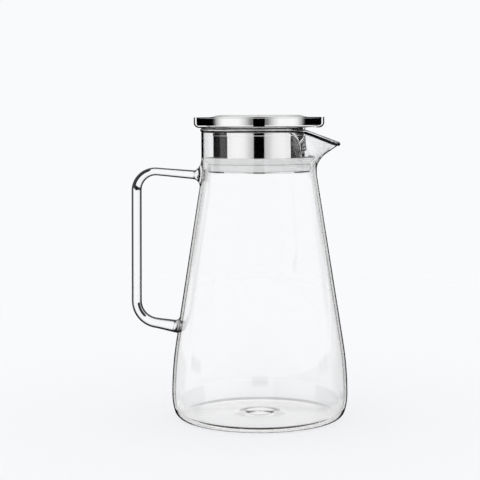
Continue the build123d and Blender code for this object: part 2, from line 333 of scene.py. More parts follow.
def ring_faces(columns, lower, upper):
    """Quads between two rings of vertices, given by the first index of each."""
    return [
        (lower + k, lower + (k + 1) % columns, upper + (k + 1) % columns, upper + k)
        for k in range(columns)
    ]


def loop_faces(loops):
    """Quads between each loop of vertex indices and the next."""
    faces = []
    for a, b in zip(loops, loops[1:]):
        count = len(a)
        for k in range(count):
            n = (k + 1) % count
            faces.append((a[k], a[n], b[n], b[k]))
    return faces


def round_cells(top, bottom, left, right):
    """(row, column) of the vertices round a rectangle of mesh cells, starting along its top."""
    loop = [(top, c) for c in range(left, right)]
    loop += [(r, right) for r in range(top, bottom)]
    loop += [(bottom, c) for c in range(right, left, -1)]
    loop += [(r, left) for r in range(bottom, top, -1)]
    return loop


def held(section, reach=0.3 * MM):
    """The section with points near the ends of its long stretches, so that these shade flat."""
    out = [section[0]]
    for start, end in zip(section, section[1:]):
        along = Vector(end) - Vector(start)
        if along.length > 4 * reach:
            step = along.normalized() * reach
            out += [tuple(Vector(start) + step), tuple(Vector(end) - step)]
        out.append(end)
    return out


def spun(section, angles):
    """Points of the (radius, height) section at each angle about the axis, ring after ring."""
    return [(r * cos(a), r * sin(a), z) for r, z in section for a in angles]


def full_turn(count):
    return [2 * pi * k / count for k in range(count)]


def turned(name, section, look):
    """Closed ring turned about the jug's axis from its closed (radius, height) section."""
    section = held(section + [section[0]])[:-1]
    columns = LATHE_COLUMNS
    faces = []
    for i in range(len(section)):
        faces += ring_faces(columns, i * columns, (i + 1) % len(section) * columns)
    return make_object(name, spun(section, full_turn(columns)), faces, look)


def capped(name, section, look):
    """Solid turned from an open section whose first and last points lie on the axis."""
    section = held(section)
    columns = LATHE_COLUMNS
    points = [(0, 0, section[0][1]), (0, 0, section[-1][1])]
    points += spun(section[1:-1], full_turn(columns))
    faces = []
    rings = len(section) - 2
    for i in range(rings - 1):
        faces += ring_faces(columns, 2 + i * columns, 2 + (i + 1) * columns)
    last = 2 + (rings - 1) * columns
    for k in range(columns):
        n = (k + 1) % columns
        faces.append((0, 2 + n, 2 + k))
        faces.append((1, last + k, last + n))
    return make_object(name, points, faces, look)


# Glass: form of the wall

def smooth_max(a, b, width):
    """The larger of two radii, with the crease between them rounded over the width."""
    h = np.maximum(width - np.abs(a - b), 0) / width
    return np.maximum(a, b) + h * h * width / 4


def vessel_radius(z, offset):
    """Radius of the cone and the neck at a height, inside the outer wall by the offset."""
    neck = NECK_R - offset
    shoulder = SHOULDER_Z - offset * tan(CONE_ANGLE / 2)
    return smooth_max(neck, neck + CONE_SLOPE * (shoulder - z), SHOULDER_BLEND)


def spout_radius(angle, z, offset):
    """Distance from the axis to the spout's flank or its rounded keel, seen from above."""
    half_width = tan(SPOUT_HALF_ANGLE)
    flank = atan2(half_width, sin(SPOUT_RISE))
    shift = SPOUT_KEEL_R * (1 / sin(flank) - 1) - offset / sin(flank)
    ridge_z = SPOUT_FOOT_Z - shift / cos(SPOUT_RISE)
    apex = NECK_R + (z - ridge_z) / SPOUT_SLOPE
    long_r = (SPOUT_KEEL_R - offset) / sin(SPOUT_RISE)
    wide_r = SPOUT_KEEL_R - offset
    centre = apex - hypot(long_r, wide_r / half_width)
    touch = atan2(wide_r, long_r * half_width)
    side = np.minimum(from_spout(angle), SPOUT_SIDE_LIMIT)
    s, c = np.sin(side), np.cos(side)
    on_flank = apex * half_width / np.maximum(s + c * half_width, 1e-6)
    # the keel is an ellipse in a level section
    p = (c / long_r) ** 2 + (s / wide_r) ** 2
    q = centre * c / long_r ** 2
    inside = np.maximum(q * q - p * ((centre / long_r) ** 2 - 1), 0)
    on_keel = (q + np.sqrt(inside)) / p
    touch_angle = np.arctan2(wide_r * sin(touch), centre + long_r * cos(touch))
    radius = np.where(side < touch_angle, on_keel, on_flank)
    return np.where(centre > 0, radius, 0)


def wall_radius(angle, z, offset=0.0):
    """Radius of the jug's wall with its spout, in any direction from the axis."""
    vessel = vessel_radius(z, offset)
    spout = spout_radius(angle, z, offset)
    step = 0.2 * MM
    across = (spout_radius(angle + step / NECK_R, z, offset) - spout) / step
    upwards = (spout_radius(angle, z + step, offset) - spout) / step
    steepness = np.clip(np.hypot(across, upwards), 0.2, 2.0)
    # the crease is tight under the keel and runs out wide over the flanks
    on_flank = ease(share_of(from_spout(angle), 0, SPOUT_HALF_ANGLE))
    on_neck = ease(share_of(from_spout(angle), FLANK_END, NECK_START))
    blend = SPOUT_BLEND_R + offset + (FLANK_BLEND_R - SPOUT_BLEND_R) * on_flank * (1 - on_neck)
    width = 2 * blend * steepness * np.tan(np.arctan(steepness) / 2)
    return smooth_max(vessel, spout, width)


def lip_height(x):
    """Height of the rim's centre line above a point of the plan."""
    bend_start = LIP_START_X - LIP_REACH
    bend_end = LIP_START_X + LIP_REACH * cos(LIP_FALL)
    in_bend = np.clip(x - bend_start, 0, LIP_BEND_R * 0.99)
    bent = BEAD_PATH_Z - LIP_BEND_R + np.sqrt(LIP_BEND_R ** 2 - in_bend ** 2)
    falling = BEAD_PATH_Z - LIP_SLOPE * (x - LIP_START_X)
    return np.where(x < bend_start, BEAD_PATH_Z, np.where(x > bend_end, falling, bent))


def polar(angles, radius, z):
    return np.stack([radius * np.cos(angles), radius * np.sin(angles), z + 0 * angles], axis=1)


class Rim:
    """Centre line of the bead, with the wall's direction at each column."""

    def __init__(self, angles):
        z = np.full_like(angles, BEAD_PATH_Z)
        for _ in range(60):
            radius = wall_radius(angles, z, BEAD_DEPTH)
            z = 0.5 * z + 0.5 * lip_height(radius * np.cos(angles))
        self.centre = polar(angles, radius, z)
        along = np.roll(self.centre, -1, axis=0) - np.roll(self.centre, 1, axis=0)
        along[:, 2] = 0
        along /= np.linalg.norm(along, axis=1)[:, None]
        outwards = np.stack([along[:, 1], -along[:, 0], 0 * z], axis=1)
        step = 0.5 * MM
        lean = (wall_radius(angles, z, BEAD_DEPTH) - wall_radius(angles, z - step, BEAD_DEPTH)) / step
        lean *= outwards[:, 0] * np.cos(angles) + outwards[:, 1] * np.sin(angles)
        tilt = np.arctan(lean)[:, None]
        up = np.array([0, 0, 1.0])
        self.normal = outwards * np.cos(tilt) - up * np.sin(tilt)
        self.upwards = outwards * np.sin(tilt) + up * np.cos(tilt)

    def offset(self, out, up):
        return self.centre + self.normal * out + self.upwards * up


def heel_section(offset, corner_r, floor_z):
    """Section points from the floor's edge round the heel and the belly to the cone."""
    belly_r = BELLY_R - offset
    side_r = HEEL_SIDE_ARC_R - offset
    neck_r = NECK_R - offset
    side_centre = (BELLY_R - HEEL_SIDE_ARC_R, BELLY_Z)
    drop = BELLY_Z - floor_z - corner_r
    reach = sqrt((side_r - corner_r) ** 2 - drop ** 2)
    corner = (side_centre[0] + reach, floor_z + corner_r)
    touch = atan2(-drop, reach)
    cone_r = neck_r + CONE_SLOPE * (SHOULDER_Z - BELLY_Z)
    cone_r -= offset * (1 / cos(CONE_ANGLE) - 1)
    big_r = (cone_r - belly_r) / (1 / cos(CONE_ANGLE) - 1)
    section = arc(corner, corner_r, -pi / 2, touch, 10)
    section += arc(side_centre, side_r, touch, 0, 12)[1:]
    section += arc((belly_r - big_r, BELLY_Z), big_r, 0, CONE_ANGLE, 8)[1:]
    return section


def cap_section(radius, base_z, height, steps):
    """Section of a low round cap from its top on the axis to its edge."""
    sphere_r = (radius ** 2 + height ** 2) / (2 * height)
    edge = acos(radius / sphere_r)
    return arc((0, base_z + height - sphere_r), sphere_r, pi / 2, edge, steps)


# Glass: handle

class Bend:
    """Round corner of the rod's centre line."""

    def __init__(self, before, corner, after, radius):
        self.came = (corner - before).normalized()
        self.goes = (after - corner).normalized()
        self.turn = self.came.angle(self.goes)
        cut = radius * tan(self.turn / 2)
        self.start = corner - self.came * cut
        self.end = corner + self.goes * cut
        inwards = (self.goes - self.came).normalized()
        self.centre = corner + inwards * (radius / cos(self.turn / 2))

    def stations(self, d_start, d_end, count):
        arm = self.start - self.centre
        axis = self.came.cross(self.goes).normalized()
        out = []
        for k in range(count):
            spin = Matrix.Rotation(self.turn * k / count, 3, axis)
            diameter = between(d_start, d_end, ease(k / count))
            out.append((self.centre + spin @ arm, spin @ self.came, diameter))
        return out


def straight_stations(start, end, d_start, d_end, count):
    direction = (end - start).normalized()
    return [
        (start.lerp(end, k / count), direction, between(d_start, d_end, ease(k / count)))
        for k in range(count)
    ]


def handle_stations():
    """(point, direction, diameter) along the rod from the upper seam to the lower one."""
    corners = [Vector((x, 0, z)) for x, z in (UPPER_SEAM, GRIP_TOP, GRIP_BOTTOM, LOWER_SEAM)]
    upper = Bend(*corners[:3], UPPER_BEND_R)
    lower = Bend(*corners[1:], LOWER_BEND_R)
    stations = straight_stations(corners[0], upper.start, ARM_D, UPPER_BEND_D, 10)
    stations += upper.stations(UPPER_BEND_D, GRIP_D, 24)
    stations += straight_stations(upper.end, lower.start, GRIP_D, GRIP_D, 26)
    stations += lower.stations(GRIP_D, LOWER_BEND_D, 24)
    stations += straight_stations(lower.end, corners[3], LOWER_BEND_D, LOWER_ARM_D, 8)
    stations.append((corners[3], lower.goes, LOWER_ARM_D))
    return stations


def across_rod(turn, up):
    """Direction away from the rod's axis, at each turn about it."""
    return np.cos(turn)[:, None] * SIDE + np.sin(turn)[:, None] * up


class Weld:
    """Flared joint between the wall and one end of the rod.

    Its rings run from the edge of a hole in the wall's mesh to the seam. A point of a ring is
    given by its distance from the rod's axis, its turn about the axis, and how far it lies
    from the seam towards the wall.
    """

    def __init__(self, seam, inwards, up, rod_d, spread):
        self.seam = np.array([seam[0], 0, seam[1]])
        self.inwards = inwards
        self.up = up
        self.seam_r = rod_d / 2 + RIDGE_STEP
        self.spread = spread

    def place(self, out, turn, depth):
        across = across_rod(turn, self.up) * out[:, None]
        return self.seam + across + self.inwards * depth[:, None]

    def wall_depth(self, out, turn):
        depth = np.full_like(out, 5 * MM)
        for _ in range(30):
            point = self.place(out, turn, depth)
            radius = np.hypot(point[:, 0], point[:, 1])
            depth = depth + radius - vessel_radius(point[:, 2], 0)
        return depth

    def rings(self, hole):
        """Rings from just inside the hole to the seam's ridge."""
        upwards, sideways = (hole - self.seam) @ self.up, (hole - self.seam) @ SIDE
        turn = np.unwrap(np.arctan2(upwards, sideways))
        hole_r = np.hypot(upwards, sideways)
        flare_r = self.spread(ROUND_ROD)
        rings = []
        for t in WELD_SKIRT:
            angle = between(turn, ROUND_ROD, t)
            out = between(hole_r, self.spread(angle), t)
            rings.append(self.place(out, angle, self.wall_depth(out, angle)))
        # the flare leaves the wall flat and meets the seam at a slant
        reach = self.wall_depth(flare_r, ROUND_ROD)
        bulge = (reach ** 2 + (flare_r - self.seam_r) ** 2) / (2 * reach)
        full = np.arcsin(np.clip((flare_r - self.seam_r) / bulge, -1, 1))
        for k in range(1, WELD_FLARE_STEPS + 1):
            t = k / WELD_FLARE_STEPS
            out = flare_r - bulge * np.sin(full * t)
            depth = reach - bulge * (1 - np.cos(full * t))
            wall = self.wall_depth(out, ROUND_ROD)
            rings.append(self.place(out, ROUND_ROD, depth + (wall - reach) * (1 - t)))
        return rings


def upper_spread(turn):
    """Radius at which the upper joint runs out on the neck, larger towards the rim."""
    return UPPER_SPREAD + UPPER_SPREAD_TO_RIM * np.maximum(-np.sin(turn), 0) ** 2


def lower_spread(turn):
    """Radius at which the lower joint runs out on the cone, smaller on its underside."""
    return LOWER_SPREAD + LOWER_SPREAD_UPWARDS * np.sin(turn)


def seam_ridge(seam, direction, rod_d, towards_rod):
    """Stations of the faint ridge left where rod and joint were fused."""
    return [
        (seam + direction * (RIDGE_WIDTH * along * towards_rod), direction,
         rod_d + 2 * RIDGE_STEP * proud)
        for along, proud in RIDGE_PROFILE
    ]


def rod_ring(centre, direction, diameter):
    across = across_rod(ROUND_ROD, np.cross(np.array(direction), SIDE))
    return np.array(centre) + across * diameter / 2


def painted_streak_shade(direction):
    """Painted edge shade at each point of a rod ring, with the painted dark streaks in the bends."""
    inner_side = np.sin(ROUND_ROD)
    fall = degrees(asin(-direction[2]))
    if direction[0] < 0:
        # on the outer side, and hooked over to the middle at the lower end
        along = share_of(fall, *UPPER_STREAK_START) * ease(share_of(fall, *UPPER_STREAK_END))
        middle = between(*UPPER_STREAK_SIDE, ease(share_of(fall, *UPPER_STREAK_HOOK)))
        share = along * bump(inner_side, middle, UPPER_STREAK_HALF)
    else:
        along = ease(share_of(fall, *LOWER_STREAK_START)) * ease(share_of(fall, *LOWER_STREAK_END))
        share = along * bump(inner_side, LOWER_STREAK_SIDE, LOWER_STREAK_HALF)
    return between(ROD_EDGE, PAINTED_STREAK_EDGE, share)


def handle_rings(upper_hole, lower_hole):
    """Rings from the upper hole's edge along the rod to the lower one's, with their painted edge
    shade.
    """
    stations = handle_stations()
    start, out_direction, _ = stations[0]
    end, in_direction, _ = stations[-1]
    outwards, inwards = np.array(out_direction), np.array(in_direction)
    upper = Weld(UPPER_SEAM, -outwards, np.cross(outwards, SIDE), ARM_D, upper_spread)
    lower = Weld(LOWER_SEAM, inwards, np.cross(inwards, SIDE), LOWER_ARM_D, lower_spread)
    rod = seam_ridge(start, out_direction, ARM_D, 1) + stations[1:-1]
    rod += seam_ridge(end, in_direction, LOWER_ARM_D, -1)[::-1]
    rings = upper.rings(upper_hole) + [rod_ring(*station) for station in rod]
    rings += lower.rings(lower_hole)[::-1]

    weld_count = len(WELD_SKIRT) + WELD_FLARE_STEPS
    # painted edge shade over the joints, and a painted dark line at each seam
    fade = between(WELD_EDGE, ROD_EDGE, np.linspace(0, 1, weld_count) ** 3)
    fade[-1] = SEAM_EDGE
    rod_painted_shade = [painted_streak_shade(direction) for _, direction, _ in rod]
    rod_painted_shade[1] = rod_painted_shade[-2] = SEAM_EDGE
    return rings, list(fade) + rod_painted_shade + list(fade[::-1])


# Glass: the whole piece

class Skin:
    """Rows of points over the inside and the outside of the glass, with their painted edge shade."""

    def __init__(self, angles):
        self.angles = angles
        self.rows = []
        self.painted_darkness = []

    def add(self, row, dark):
        self.rows.append(row)
        self.painted_darkness.append(dark + np.zeros(len(row)))

    def add_level(self, radius, z, dark):
        self.add(polar(self.angles, radius, z), dark)


def add_inside(skin, rim):
    """Rows from the button in the middle of the floor up to the bead."""
    button = cap_section(BUTTON_R, FLOOR, BUTTON_HEIGHT, 12)
    heel = heel_section(WALL, INNER_CORNER_R, FLOOR)
    flat = [(r, FLOOR) for r in np.linspace(BUTTON_R, heel[0][0], 8)[1:-1]]
    for r, z in button[1:] + flat:
        skin.add_level(r, z, INSIDE_EDGE)
    for r, z in heel:
        skin.add_level(r, z, INSIDE_CONE_EDGE if z > HEEL_EDGE_Z else INSIDE_HEEL_EDGE)
    low, high = INSIDE_SHOULDER
    for z in levels(heel[-1][1], low, 8 * MM) + levels(low, high, 1.2 * MM):
        skin.add_level(vessel_radius(z, WALL), z, INSIDE_CONE_EDGE)
    top = rim.centre[:, 2] - INSIDE_NECK_END
    for k in range(1, INSIDE_NECK_ROWS + 1):
        z = between(high, top, k / INSIDE_NECK_ROWS)
        skin.add_level(wall_radius(skin.angles, z, WALL), z, INSIDE_EDGE)


def add_bead(skin, rim):
    """Rows round the bead, down to where it meets the outer wall."""
    on_spout = 1 - ease(share_of(from_spout(skin.angles), FLANK_END, NECK_START))
    skin.add(rim.offset(-WALL + BEAD_DEPTH, 0), INSIDE_EDGE)
    for a in np.linspace(BEAD_START, BEAD_MEETS_WALL, BEAD_ROWS):
        # the bead's painted dark bands
        dark = a < BEAD_LOW or BEAD_HIGH < a < BEAD_BACK
        on_neck = BEAD_EDGE if dark else BEAD_CORE
        at_spout = BEAD_EDGE if a < SPOUT_BEAD_LOW else SPOUT_BEAD_EDGE
        row = rim.offset(BEAD_R * cos(a), BEAD_R * sin(a))
        skin.add(row, between(on_neck, at_spout, on_spout))


def add_outside(skin, rim):
    """Rows from the bead down to the middle of the foot. Gives the first row of each joint."""
    angles = skin.angles
    on_keel = 1 - ease(share_of(from_spout(angles), KEEL_HALF_ANGLE, 2 * KEEL_HALF_ANGLE))
    drop = BEAD_R * sin(BEAD_MEETS_WALL) - OUTSIDE_NECK_START
    start = rim.offset(BEAD_DEPTH, drop)[:, 2]
    for k in range(OUTSIDE_NECK_ROWS):
        z = between(start, UPPER_WELD_ZONE[1], k / OUTSIDE_NECK_ROWS)
        skin.add_level(wall_radius(angles, z), z, between(NECK_EDGE, KEEL_EDGE, on_keel))
    upper_row = len(skin.rows)
    for z in np.linspace(UPPER_WELD_ZONE[1], UPPER_WELD_ZONE[0], WELD_ROWS + 1):
        on_neck = share_of(z, SHOULDER_Z, UPPER_WELD_ZONE[1])
        skin.add_level(wall_radius(angles, z), z, between(CONE_EDGE, NECK_EDGE, on_neck))
    heel = heel_section(0, HEEL_CORNER_R, 0)
    over_joint = levels(LOWER_WELD_ZONE[1], UPPER_WELD_ZONE[0], 6 * MM)[-2::-1]
    beside_joint = np.linspace(LOWER_WELD_ZONE[1], LOWER_WELD_ZONE[0], WELD_ROWS + 1)
    under_joint = levels(heel[-1][1], LOWER_WELD_ZONE[0], 5 * MM)[-2::-1]
    lower_row = len(skin.rows) + len(over_joint)
    for z in (*over_joint, *beside_joint, *under_joint):
        skin.add_level(vessel_radius(z, 0), z, CONE_EDGE)
    recess = cap_section(FOOT_RING_R, 0, FOOT_RECESS, 10)
    ring = [(FOOT_RING_R + FOOT_RING_ROUND, 0), (FOOT_RING_R, FOOT_RING_STEP)]
    for r, z in heel[::-1] + ring + recess[1:-1][::-1]:
        skin.add_level(r, z, HEEL_EDGE if z < HEEL_EDGE_Z else CONE_EDGE)
    return upper_row, lower_row


def hole_loop(start_row, clockwise):
    """Vertex indices round the hole for a joint, from the middle of its +Y side."""
    loop = round_cells(start_row, start_row + WELD_ROWS, WELD_START, WELD_START + WELD_COLUMNS)
    half = WELD_ROWS // 2
    loop = loop[-half:] + loop[:-half]
    if clockwise:
        loop = [loop[0]] + loop[:0:-1]
    return [r * GLASS_COLUMNS + c for r, c in loop]


def glass_jug(look):
    """Body, spout, rim and handle as one closed mesh, as the fused glass is."""
    share = np.arange(GLASS_COLUMNS) / GLASS_COLUMNS
    angles = 2 * np.pi * share - CROWDING * np.sin(2 * np.pi * share)
    skin = Skin(angles)
    rim = Rim(angles)
    add_inside(skin, rim)
    add_bead(skin, rim)
    upper_row, lower_row = add_outside(skin, rim)

    def in_hole(row, column):
        in_rows = any(first <= row < first + WELD_ROWS for first in (upper_row, lower_row))
        return in_rows and WELD_START <= column < WELD_START + WELD_COLUMNS

    faces = []
    for i in range(len(skin.rows) - 1):
        quads = ring_faces(GLASS_COLUMNS, i * GLASS_COLUMNS, (i + 1) * GLASS_COLUMNS)
        faces += [quad for k, quad in enumerate(quads) if not in_hole(i, k)]
    wall = np.concatenate(skin.rows)

    upper_loop = hole_loop(upper_row, clockwise=True)
    lower_loop = hole_loop(lower_row, clockwise=False)
    rings, ring_painted_shade = handle_rings(wall[upper_loop], wall[lower_loop])
    loops = [upper_loop]
    for k in range(len(rings)):
        first = len(wall) + k * WELD_LOOP
        loops.append(list(range(first, first + WELD_LOOP)))
    loops.append(lower_loop)
    faces += loop_faces(loops)

    # the button's top and the middle of the foot close the mesh
    middles = [[0, 0, FLOOR + BUTTON_HEIGHT], [0, 0, FOOT_RECESS]]
    points = np.concatenate([wall] + rings + [middles])
    top_index, foot_index = len(points) - 2, len(points) - 1
    last_row = (len(skin.rows) - 1) * GLASS_COLUMNS
    for k in range(GLASS_COLUMNS):
        n = (k + 1) % GLASS_COLUMNS
        faces.append((top_index, n, k))
        faces.append((foot_index, last_row + k, last_row + n))

    jug = make_object("glass_jug", points, faces, look)
    painted_darkness = skin.painted_darkness + [dark + np.zeros(WELD_LOOP) for dark in ring_painted_shade]
    painted_darkness.append(np.array([INSIDE_EDGE, CONE_EDGE]))
    # the painted shade widths, one for each vertex
    attribute = jug.data.attributes.new(PAINTED_SHADE_ATTRIBUTE, "FLOAT", "POINT")
    attribute.data.foreach_set("value", np.concatenate(painted_darkness).astype(np.float32))
    drop_loose(jug)
    return jug


# Steel and seal

def dome_slope(high, low):
    """Curve of the cover from its plateau down to its rim."""
    middle = (DOME_PLATEAU_R + DOME_FOOT_R) / 2
    points = [(DOME_PLATEAU_R, high), (middle, high), (middle, low), (DOME_FOOT_R, low)]
    out = []
    for t in np.linspace(0, 1, DOME_POINTS):
        weights = ((1 - t) ** 3, 3 * t * (1 - t) ** 2, 3 * t * t * (1 - t), t ** 3)
        out.append(tuple(sum(w * p[i] for w, p in zip(weights, points)) for i in (0, 1)))
    return out


def lid_cover(look):
    top = LID_EDGE_Z + DOME_RISE
    ring_r = LID_R - SHEET - FIT
    inner = ring_r - SHEET
    closed = [
        (DOME_FOOT_R, LID_EDGE_Z), (LID_R, LID_EDGE_Z), (LID_R, PAN_TOP_Z), (ring_r, PAN_TOP_Z),
        (ring_r, PAN_TOP_Z - LOCATING_LIP), (inner, PAN_TOP_Z - LOCATING_LIP),
        (inner, PAN_TOP_Z), (DOME_FOOT_R, PAN_TOP_Z),
    ]
    section = [(0, top)] + dome_slope(top, LID_EDGE_Z)[:-1]
    section += rounded(closed, EDGE_ROUND)
    section += dome_slope(top - SHEET, PAN_TOP_Z)[::-1][1:] + [(0, top - SHEET)]
    return capped("lid_cover", section, look)


def lid_dish(look):
    corner = (LID_R - PAN_CORNER_R, PAN_BOTTOM_Z + PAN_CORNER_R)
    third = EDGE_ROUND / 3
    section = [(0, PAN_BOTTOM_Z), (PAN_MIDDLE_R, PAN_BOTTOM_Z)]
    section += arc(corner, PAN_CORNER_R, -pi / 2, 0, 14)
    section += [
        (LID_R, PAN_TOP_Z - EDGE_ROUND), (LID_R - third, PAN_TOP_Z - third),
        (LID_R - EDGE_ROUND, PAN_TOP_Z), (LID_R - SHEET, PAN_TOP_Z),
    ]
    section += arc(corner, PAN_CORNER_R - SHEET, 0, -pi / 2, 10)
    section += [(PAN_MIDDLE_R, PAN_BOTTOM_Z + SHEET), (0, PAN_BOTTOM_Z + SHEET)]
    return capped("lid_dish", section, look)


def collar(look):
    outer = SLEEVE_R + COLLAR_T
    section = [
        (SLEEVE_R, COLLAR_BOTTOM_Z), (outer, COLLAR_BOTTOM_Z), (outer, PAN_BOTTOM_Z),
        (SLEEVE_R, PAN_BOTTOM_Z),
    ]
    return turned("sleeve_collar_ring", rounded(section, COLLAR_ROUND), look)


def strainer(look):
    """Sleeve with its two flanges and the rows of round holes towards the spout."""
    inner_r = SLEEVE_R - SHEET
    flange_top = SLEEVE_BOTTOM_Z + FLANGE_T
    low_round = (FLANGE_R - FLANGE_ROUND, SLEEVE_BOTTOM_Z + FLANGE_ROUND)
    high_round = (FLANGE_R - EDGE_ROUND, flange_top - EDGE_ROUND)
    low_end = [(inner_r, SLEEVE_BOTTOM_Z)]
    low_end += arc(low_round, FLANGE_ROUND, -pi / 2, 0, 5)
    low_end += arc(high_round, EDGE_ROUND, 0, pi / 2, 3)
    low_end = held(low_end + [(SLEEVE_R, flange_top)], 0.12 * MM)
    window_rows = HOLE_ROWS * HOLE_CELLS
    window_start = LOWEST_HOLE_Z - HOLE_ROW_PITCH / 2
    heights = [window_start + HOLE_ROW_PITCH / HOLE_CELLS * k for k in range(window_rows + 1)]
    outer_wall = [(SLEEVE_R, z) for z in heights]
    inner_wall = [(inner_r, z) for z in reversed(heights)]
    high_end = [
        (SLEEVE_R, PAN_BOTTOM_Z - SLEEVE_TOP_GAP), (TOP_FLANGE_R, PAN_BOTTOM_Z - SLEEVE_TOP_GAP),
        (TOP_FLANGE_R, PAN_BOTTOM_Z - SHEET), (inner_r, PAN_BOTTOM_Z - SHEET),
    ]
    section = low_end + outer_wall + high_end + inner_wall
    outer_start = len(low_end)
    inner_start = len(low_end) + len(outer_wall) + len(high_end)

    window_half = HOLE_COLUMNS * HOLE_ANGLE_PITCH / 2
    window_columns = HOLE_COLUMNS * HOLE_CELLS
    round_the_back = np.linspace(window_half, 2 * pi - window_half, SLEEVE_COLUMNS + 1)
    angles = list(np.linspace(-window_half, window_half, window_columns + 1))
    angles += list(round_the_back[1:-1])
    columns = len(angles)
    points = spun(section, angles)
    faces = []
    for i in range(len(section)):
        quads = ring_faces(columns, i * columns, (i + 1) % len(section) * columns)
        in_window = any(start <= i < start + window_rows for start in (outer_start, inner_start))
        faces += quads[window_columns:] if in_window else quads

    def square(wall_start, step, row, column):
        """Vertex indices round one hole's square, on a wall whose rows step up or down."""
        low, left = row * HOLE_CELLS, column * HOLE_CELLS
        cells = round_cells(low, low + HOLE_CELLS, left, left + HOLE_CELLS)
        return [(wall_start + step * r) * columns + c for r, c in cells]

    hole_edges = ((SLEEVE_R, HOLE_MOUTH), (SLEEVE_R - HOLE_MOUTH_DEPTH, 1.0), (inner_r, 1.0))
    for row in range(HOLE_ROWS):
        for column in range(HOLE_COLUMNS):
            middle_z = LOWEST_HOLE_Z + row * HOLE_ROW_PITCH
            middle_a = (column - (HOLE_COLUMNS - 1) / 2) * HOLE_ANGLE_PITCH
            loops = [square(outer_start, 1, row, column)]
            for wall_r, widen in hole_edges:
                first = len(points)
                for index in loops[0]:
                    x, y, z = points[index]
                    across = (atan2(y, x) - middle_a) * SLEEVE_R
                    turn = atan2(z - middle_z, across)
                    a = middle_a + cos(turn) * HOLE_R * widen / SLEEVE_R
                    height = middle_z + sin(turn) * HOLE_R * widen
                    points.append((wall_r * cos(a), wall_r * sin(a), height))
                loops.append(list(range(first, len(points))))
            loops.append(square(inner_start + window_rows, -1, row, column))
            faces += loop_faces(loops)
    return make_object("strainer_tube", points, faces, look)


def seal(look):
    inner_r = SLEEVE_R + FIT
    lip_r = NECK_R - WALL - FIT
    foot_z = SLEEVE_BOTTOM_Z + FLANGE_T + FIT
    bevel_r, bevel_z = SEAL_FOOT_BEVEL
    bulge_centre = (SEAL_BULGE_R - SEAL_BULGE_ARC_R, SEAL_BULGE_Z)
    section = [(inner_r, foot_z), (SEAL_FOOT_R - bevel_r, foot_z), (SEAL_FOOT_R, foot_z + bevel_z)]
    section += arc(bulge_centre, SEAL_BULGE_ARC_R, *SEAL_BULGE_ARC, 10)[2:]
    lips = rounded([
        (SEAL_FOOT_R, SEAL_WAIST_Z - SEAL_GROOVE), (SEAL_WAIST_R, SEAL_WAIST_Z),
        (SEAL_LIP_ROOT_R, SEAL_WAIST_Z + SEAL_GROOVE), (lip_r, SEAL_TOP_Z - SEAL_LIP_T),
        (lip_r, SEAL_TOP_Z), (inner_r, SEAL_TOP_Z)], EDGE_ROUND)
    # the first and the last corner join the rest of the section and stay sharp
    corner_points = ROUNDING_STEPS + 1
    section += lips[corner_points:-corner_points] + [(inner_r, SEAL_TOP_Z)]
    return turned("silicone_seal", section, look)


# Node trees

def two_sided(operation):
    """Method that puts a Math node between a Number and another value."""
    return lambda self, other: maths(operation, self, other)


class Number:
    """A value in a node tree. Arithmetic and comparisons on it add Math nodes."""

    __add__ = two_sided("ADD")
    __sub__ = two_sided("SUBTRACT")
    __mul__ = two_sided("MULTIPLY")
    __truediv__ = two_sided("DIVIDE")
    __lt__ = two_sided("LESS_THAN")
    __gt__ = two_sided("GREATER_THAN")
    at_least = two_sided("MAXIMUM")
    at_most = two_sided("MINIMUM")

    def __init__(self, socket):
        self.socket = socket

    def __rsub__(self, other):
        return maths("SUBTRACT", other, self)

    def __abs__(self):
        return maths("ABSOLUTE", self)


def maths(operation, *values):
    """A Math node on Numbers and plain numbers, at least one of them a Number."""
    tree = next(value.socket.id_data for value in values if isinstance(value, Number))
    node = add_node(tree, "Math", dict(enumerate(values)), operation=operation)
    return Number(node.outputs["Value"])


def add_node(tree, kind, inputs=None, **settings):
    """Adds a node with its settings, and sets or links its inputs, given by name or place."""
    node = tree.nodes.new("ShaderNode" + kind)
    for name, value in settings.items():
        setattr(node, name, value)
    for key, value in (inputs or {}).items():
        if isinstance(value, Number):
            value = value.socket
        if isinstance(value, bpy.types.NodeSocket):
            tree.links.new(value, node.inputs[key])
        else:
            node.inputs[key].default_value = value
    return node


def mix(share, a, b):
    """The first value where the share is 0, and the second where it is 1."""
    return share * b + (1 - share) * a


def rise(value, start, width):
    """0 up to the start, and climbing to 1 over the width."""
    return ((value - start) / width).at_least(0.0).at_most(1.0)


def ramped(value, stops):
    """The value turned into a shade by (position, shade) stops, straight between them."""
    row = add_node(value.socket.id_data, "ValToRGB", {"Fac": value})
    elements = row.color_ramp.elements
    while len(elements) > 1:
        elements.remove(elements[-1])
    elements[0].position, elements[0].color = stops[0][0], shade(stops[0][1])
    for position, brightness in stops[1:]:
        elements.new(position).color = shade(brightness)
    return Number(row.outputs["Color"])


def shade(value):
    """Opaque colour from a grey or from red, green and blue."""
    return (value, value, value, 1) if isinstance(value, (int, float)) else (*value, 1)


def light_path(tree):
    """Function that gives what the tree's Light Path node knows under a name."""
    node = add_node(tree, "LightPath")
    return lambda name: Number(node.outputs[name])


def mixed_color(tree, share, a, b):
    node = add_node(tree, "Mix", {"Factor": share, "A": a, "B": b}, data_type="RGBA")
    return node.outputs["Result"]


def material(name):
    made = bpy.data.materials.new(name)
    made.use_nodes = True
    made.node_tree.nodes.clear()
    return made, made.node_tree


def finish_material(tree, shader, share=None, other=None):
    """Puts out the shader, or the other one over the share of the surface."""
    surface = shader.outputs["BSDF"]
    if other is not None:
        surface = add_node(tree, "MixShader", {
            "Fac": share, 1: surface, 2: other.outputs["BSDF"]}).outputs["Shader"]
    add_node(tree, "OutputMaterial", {"Surface": surface})


def grain(tree, scale, detail=2.0):
    """Noise that is fixed to the piece."""
    place = add_node(tree, "TexCoord").outputs["Object"]
    noise = add_node(tree, "TexNoise", {"Vector": place, "Scale": scale, "Detail": detail})
    return Number(noise.outputs["Fac"])


# Materials

